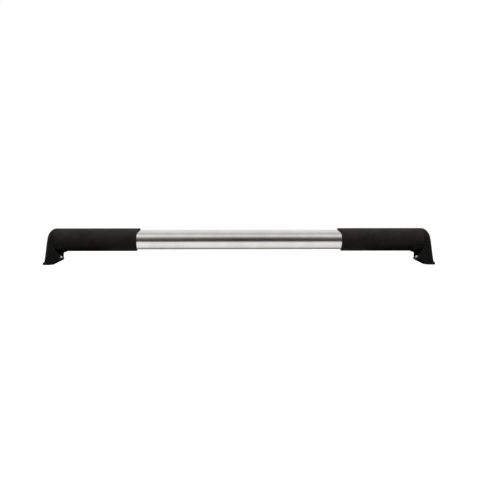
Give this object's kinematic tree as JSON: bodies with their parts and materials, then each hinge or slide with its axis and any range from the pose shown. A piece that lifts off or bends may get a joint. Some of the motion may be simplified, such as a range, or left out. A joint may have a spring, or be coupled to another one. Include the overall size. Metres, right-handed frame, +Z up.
{
  "type": "bed cargo bar",
  "caption": "Aluminium tube bar that spans a pickup bed, with black scooped sleeves and clamp feet that stand on the bed rails.",
  "frame": {"origin": "middle of the bar, on the plane of the two soles", "axes": "+X along the bar to the right end, +Z up, -Y towards the front"},
  "size_m": [1.5, 0.0878, 0.1404],
  "materials": {
    "anodised_tube": "satin clear anodised, fine drawing lines along the tube",
    "black_sleeve": "black glass-filled nylon with a fine moulded grain",
    "black_cast_foot": "semi-matt black powder coat on cast aluminium",
    "rubber_pad": "matt black rubber",
    "zinc_steel": "bright zinc plate",
    "black_screw": "black oxide",
    "brass_insert": "turned brass",
    "nylon": "natural nylon"
  },
  "bodies": {
    "bar": {"main_tube": "anodised_tube", "left_tube_liner": "nylon", "right_tube_liner": "nylon"},
    "left_end": {"left_sleeve": "black_sleeve", "left_foot": "black_cast_foot", "left_base_pad": "rubber_pad", "left_mouth_bush": "nylon", "left_lock_insert": "brass_insert", "left_front_washer": "zinc_steel", "left_rear_washer": "zinc_steel", "left_front_sleeve_screw": "black_screw", "left_rear_sleeve_screw": "black_screw"},
    "left_jaw": {"left_clamp_jaw": "zinc_steel", "left_front_stud": "zinc_steel", "left_rear_stud": "zinc_steel"},
    "left_front_nut": {"left_front_nut": "zinc_steel"},
    "left_rear_nut": {"left_rear_nut": "zinc_steel"},
    "left_lock_shoe": {"left_lock_shoe": "nylon"},
    "left_lock_screw": {"left_lock_screw": "black_screw"},
    "right_end": {"right_sleeve": "black_sleeve", "right_foot": "black_cast_foot", "right_base_pad": "rubber_pad", "right_mouth_bush": "nylon", "right_lock_insert": "brass_insert", "right_front_washer": "zinc_steel", "right_rear_washer": "zinc_steel", "right_front_sleeve_screw": "black_screw", "right_rear_sleeve_screw": "black_screw"},
    "right_jaw": {"right_clamp_jaw": "zinc_steel", "right_front_stud": "zinc_steel", "right_rear_stud": "zinc_steel"},
    "right_front_nut": {"right_front_nut": "zinc_steel"},
    "right_rear_nut": {"right_rear_nut": "zinc_steel"},
    "right_lock_shoe": {"right_lock_shoe": "nylon"},
    "right_lock_screw": {"right_lock_screw": "black_screw"}
  },
  "joints": [
    {"name": "left_end_slide", "type": "slide", "parent": "bar", "child": "left_end", "axis": [-1, 0, 0], "range_m": [-0.05, 0.06]},
    {"name": "left_jaw_slide", "type": "slide", "parent": "left_end", "child": "left_jaw", "axis": [0.4384, 0, -0.8988], "range_m": [0, 0.0045]},
    {"name": "left_front_nut_turn", "type": "hinge", "parent": "left_end", "child": "left_front_nut", "pos_m": [-0.68112, -0.014, 0.0259], "axis": [-0.4384, 0, 0.8988], "range_deg": [0, 1620]},
    {"name": "left_rear_nut_turn", "type": "hinge", "parent": "left_end", "child": "left_rear_nut", "pos_m": [-0.68112, 0.014, 0.0259], "axis": [-0.4384, 0, 0.8988], "range_deg": [0, 1620]},
    {"name": "left_lock_shoe_slide", "type": "slide", "parent": "left_end", "child": "left_lock_shoe", "axis": [0, 0, -1], "range_m": [0, 0.0005]},
    {"name": "left_lock_screw_turn", "type": "hinge", "parent": "left_lock_shoe", "child": "left_lock_screw", "pos_m": [-0.425, 0, 0.0548], "axis": [0, 0, -1], "range_deg": [0, 180]},
    {"name": "right_end_slide", "type": "slide", "parent": "bar", "child": "right_end", "axis": [1, 0, 0], "range_m": [-0.05, 0.06]},
    {"name": "right_jaw_slide", "type": "slide", "parent": "right_end", "child": "right_jaw", "axis": [-0.4384, 0, -0.8988], "range_m": [0, 0.0045]},
    {"name": "right_front_nut_turn", "type": "hinge", "parent": "right_end", "child": "right_front_nut", "pos_m": [0.68112, -0.014, 0.0259], "axis": [0.4384, 0, 0.8988], "range_deg": [0, 1620]},
    {"name": "right_rear_nut_turn", "type": "hinge", "parent": "right_end", "child": "right_rear_nut", "pos_m": [0.68112, 0.014, 0.0259], "axis": [0.4384, 0, 0.8988], "range_deg": [0, 1620]},
    {"name": "right_lock_shoe_slide", "type": "slide", "parent": "right_end", "child": "right_lock_shoe", "axis": [0, 0, -1], "range_m": [0, 0.0005]},
    {"name": "right_lock_screw_turn", "type": "hinge", "parent": "right_lock_shoe", "child": "right_lock_screw", "pos_m": [0.425, 0, 0.0548], "axis": [0, 0, -1], "range_deg": [0, 180]}
  ],
  "couplings": [
    {"joint": "left_front_nut_turn", "follows": "left_jaw_slide", "rad_per_m": 6283.2},
    {"joint": "left_rear_nut_turn", "follows": "left_jaw_slide", "rad_per_m": 6283.2},
    {"joint": "left_lock_screw_turn", "follows": "left_lock_shoe_slide", "rad_per_m": 6283.2},
    {"joint": "right_front_nut_turn", "follows": "right_jaw_slide", "rad_per_m": 6283.2},
    {"joint": "right_rear_nut_turn", "follows": "right_jaw_slide", "rad_per_m": 6283.2},
    {"joint": "right_lock_screw_turn", "follows": "right_lock_shoe_slide", "rad_per_m": 6283.2}
  ]
}
